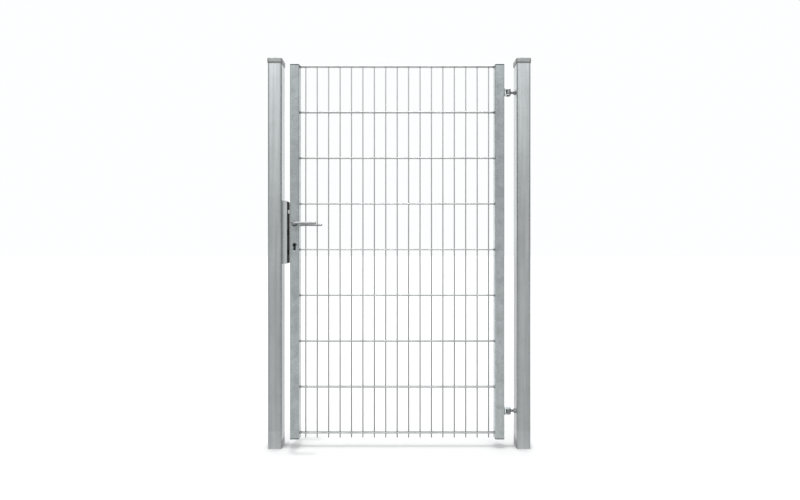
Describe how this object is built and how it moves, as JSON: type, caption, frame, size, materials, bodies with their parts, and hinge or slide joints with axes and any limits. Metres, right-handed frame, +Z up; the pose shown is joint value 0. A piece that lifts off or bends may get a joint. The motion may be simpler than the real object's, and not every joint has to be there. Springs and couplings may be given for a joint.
{
  "type": "garden gate",
  "caption": "Pedestrian garden gate with a double-wire mat leaf between square posts, adjustable eyebolt hinges, lever handles, a latch and a dead bolt.",
  "frame": {"origin": "on the ground line, midway between the two posts and in the mid-plane of the leaf, where the post footings hold the gate", "axes": "+X runs from the lock post to the hinge post, +Y from the side the leaf opens to towards the rear, +Z is up"},
  "size_m": [1.14, 0.156, 1.701],
  "materials": {
    "post_zinc": "hot-dip galvanised, dull with soft clouded spangle",
    "cap_metal": "grey metal, satin",
    "leaf_zinc": "hot-dip galvanised, mottled spangle with faint streaks",
    "wire_zinc": "hot-dip galvanised wire, matte",
    "plug_plastic": "moulded dark grey",
    "hinge_zinc": "hot-dip galvanised",
    "plated_steel": "zinc plated, darkened thread",
    "dark_steel": "oiled black spring steel",
    "lock_steel": "plated sheet",
    "stainless": "brushed stainless",
    "satin_aluminium": "satin anodised",
    "bearing_plastic": "moulded nylon",
    "buffer_plastic": "moulded black",
    "stop_rubber": "soft black"
  },
  "bodies": {
    "posts": {"lock_post": "post_zinc", "hinge_post": "post_zinc", "lock_post_cap": "cap_metal", "hinge_post_cap": "cap_metal", "keep_body": "satin_aluminium", "keep_buffer": "buffer_plastic", "stop_strip": "stop_rubber", "keep_screws": "stainless", "keep_rivet_nuts": "plated_steel", "lower_hinge_eyebolt": "plated_steel", "upper_hinge_eyebolt": "plated_steel", "lower_hinge_locknut": "plated_steel", "upper_hinge_locknut": "plated_steel", "lower_hinge_insert": "plated_steel", "upper_hinge_insert": "plated_steel"},
    "leaf": {"lock_stile": "leaf_zinc", "hinge_stile": "leaf_zinc", "upright_wires": "wire_zinc", "front_cross_wires": "wire_zinc", "rear_cross_wires": "wire_zinc", "lock_stile_top_plug": "plug_plastic", "lock_stile_bottom_plug": "plug_plastic", "hinge_stile_top_plug": "plug_plastic", "hinge_stile_bottom_plug": "plug_plastic", "lower_hinge_bracket": "hinge_zinc", "upper_hinge_bracket": "hinge_zinc", "lower_hinge_pin": "hinge_zinc", "upper_hinge_pin": "hinge_zinc", "hinge_washers": "bearing_plastic", "retaining_rings": "dark_steel", "lock_case": "lock_steel", "lock_faceplate": "stainless", "faceplate_screws": "stainless", "latch_spring": "dark_steel", "front_handle_bush": "bearing_plastic", "rear_handle_bush": "bearing_plastic"},
    "handle": {"front_lever": "satin_aluminium", "rear_lever": "satin_aluminium", "handle_spindle": "lock_steel", "handle_grub_screws": "dark_steel", "follower": "lock_steel"},
    "latch": {"latch_bolt": "stainless"},
    "deadlock": {"dead_bolt": "stainless"}
  },
  "joints": [
    {"name": "leaf_swing", "type": "hinge", "parent": "posts", "child": "leaf", "pos_m": [0.4775, 0, 0.85], "axis": [0, 0, 1], "range_deg": [0, 90]},
    {"name": "handle_turn", "type": "hinge", "parent": "leaf", "child": "handle", "pos_m": [-0.45375, 0, 0.972], "axis": [0, 1, 0], "range_deg": [0, 40], "stiffness_Nm_per_rad": 0.6, "springref_deg": -45.84},
    {"name": "latch_slide", "type": "slide", "parent": "leaf", "child": "latch", "axis": [1, 0, 0], "range_m": [0, 0.016], "deforming": ["latch_spring"]},
    {"name": "dead_bolt_slide", "type": "slide", "parent": "leaf", "child": "deadlock", "axis": [-1, 0, 0], "range_m": [0, 0.02]}
  ],
  "couplings": [
    {"joint": "latch_slide", "follows": "handle_turn", "m_per_rad": 0.0229}
  ]
}
